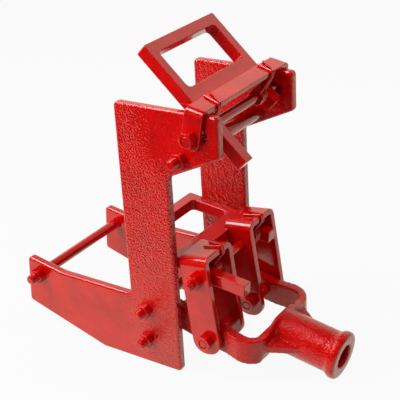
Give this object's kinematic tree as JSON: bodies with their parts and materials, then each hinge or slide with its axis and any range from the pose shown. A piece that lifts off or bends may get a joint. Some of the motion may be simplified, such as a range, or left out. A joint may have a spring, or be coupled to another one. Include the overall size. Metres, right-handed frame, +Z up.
{
  "type": "wall jack",
  "caption": "Hand-pumped wall jack that climbs a 38 x 89 mm timber with two gripping shackles and lifts a wall on its shelf arms.",
  "frame": {"origin": "bottom centre of the bounding box, on the ground plane and the middle plane between the side plates", "axes": "+X towards the handle socket, +Y towards the right side plate (bolt heads), +Z up along the timber"},
  "size_m": [0.3562, 0.182, 0.344],
  "materials": {
    "gloss_red_paint": "thick gloss enamel over steel plate and flat bar",
    "cast_red_paint": "gloss enamel over an as-cast surface",
    "fastener_red_paint": "gloss enamel over bolts, nuts and tubes",
    "spring_red_paint": "gloss enamel over spring wire"
  },
  "bodies": {
    "side_frame": {"left_side_plate": "gloss_red_paint", "right_side_plate": "gloss_red_paint", "arm_tie_rod": "fastener_red_paint", "arm_tie_nuts": "fastener_red_paint", "fulcrum_bolt": "fastener_red_paint", "fulcrum_nut": "fastener_red_paint", "fulcrum_centre_tube": "fastener_red_paint", "fulcrum_side_tubes": "fastener_red_paint", "lower_tie_bolt": "fastener_red_paint", "lower_tie_nut": "fastener_red_paint", "lower_tie_tube": "fastener_red_paint", "upper_tie_bolt": "fastener_red_paint", "upper_tie_nut": "fastener_red_paint", "upper_tie_tube": "fastener_red_paint"},
    "handle_fork": {"handle_fork": "cast_red_paint"},
    "fork_pins": {"left_fork_pin": "fastener_red_paint", "right_fork_pin": "fastener_red_paint", "fork_pin_nuts": "fastener_red_paint", "left_fork_spacers": "fastener_red_paint", "right_fork_spacers": "fastener_red_paint"},
    "lower_shackle": {"left_u_bracket": "gloss_red_paint", "right_u_bracket": "gloss_red_paint", "lower_window_plate": "gloss_red_paint", "lower_trip_pin": "fastener_red_paint", "lower_trip_pin_nut": "fastener_red_paint", "left_lower_spring": "spring_red_paint", "right_lower_spring": "spring_red_paint"},
    "lower_lever": {"lower_trip_lever": "gloss_red_paint"},
    "lower_dog": {"lower_trip_dog": "gloss_red_paint"},
    "upper_pivot": {"upper_pivot_bolt": "fastener_red_paint", "upper_pivot_nut": "fastener_red_paint"},
    "upper_shackle": {"upper_strap": "gloss_red_paint", "upper_window_plate": "gloss_red_paint", "left_upper_spring": "spring_red_paint", "right_upper_spring": "spring_red_paint"},
    "upper_lever": {"upper_trip_lever": "gloss_red_paint"},
    "upper_dog": {"upper_trip_dog": "gloss_red_paint"}
  },
  "joints": [
    {"name": "handle_pump", "type": "hinge", "parent": "side_frame", "child": "handle_fork", "pos_m": [-0.015, 0, 0.065], "axis": [0, -1, 0], "range_deg": [0, 34]},
    {"name": "fork_pin_turn", "type": "hinge", "parent": "handle_fork", "child": "fork_pins", "pos_m": [0.0543, 0, 0.045], "axis": [0, -1, 0], "range_deg": [-34, 0]},
    {"name": "lower_shackle_tilt", "type": "hinge", "parent": "fork_pins", "child": "lower_shackle", "pos_m": [0.0543, 0, 0.045], "axis": [0, 1, 0], "range_deg": [0, 15]},
    {"name": "lower_lever_lift", "type": "hinge", "parent": "lower_shackle", "child": "lower_lever", "pos_m": [0.04544, 0, 0.11222], "axis": [0, -1, 0], "range_deg": [0, 30], "stiffness_Nm_per_rad": 0.2, "springref_deg": -42.97},
    {"name": "lower_dog_lift", "type": "hinge", "parent": "lower_shackle", "child": "lower_dog", "pos_m": [0.04544, 0, 0.11222], "axis": [0, -1, 0], "range_deg": [0, 30], "stiffness_Nm_per_rad": 0.05, "springref_deg": -42.97},
    {"name": "upper_pivot_slide", "type": "slide", "parent": "side_frame", "child": "upper_pivot", "axis": [1, 0, 0], "range_m": [0, 0.0085]},
    {"name": "upper_shackle_tilt", "type": "hinge", "parent": "upper_pivot", "child": "upper_shackle", "pos_m": [0.0576, 0, 0.271], "axis": [0, -1, 0], "range_deg": [0, 22], "stiffness_Nm_per_rad": 0.35, "springref_deg": -57.3},
    {"name": "upper_lever_lift", "type": "hinge", "parent": "upper_shackle", "child": "upper_lever", "pos_m": [0.0576, 0, 0.271], "axis": [0, -1, 0], "range_deg": [0, 30], "stiffness_Nm_per_rad": 0.2, "springref_deg": -42.97},
    {"name": "upper_dog_lift", "type": "hinge", "parent": "upper_shackle", "child": "upper_dog", "pos_m": [0.0576, 0, 0.271], "axis": [0, -1, 0], "range_deg": [0, 30], "stiffness_Nm_per_rad": 0.05, "springref_deg": -42.97}
  ],
  "couplings": [
    {"joint": "fork_pin_turn", "follows": "handle_pump", "ratio": -1}
  ]
}
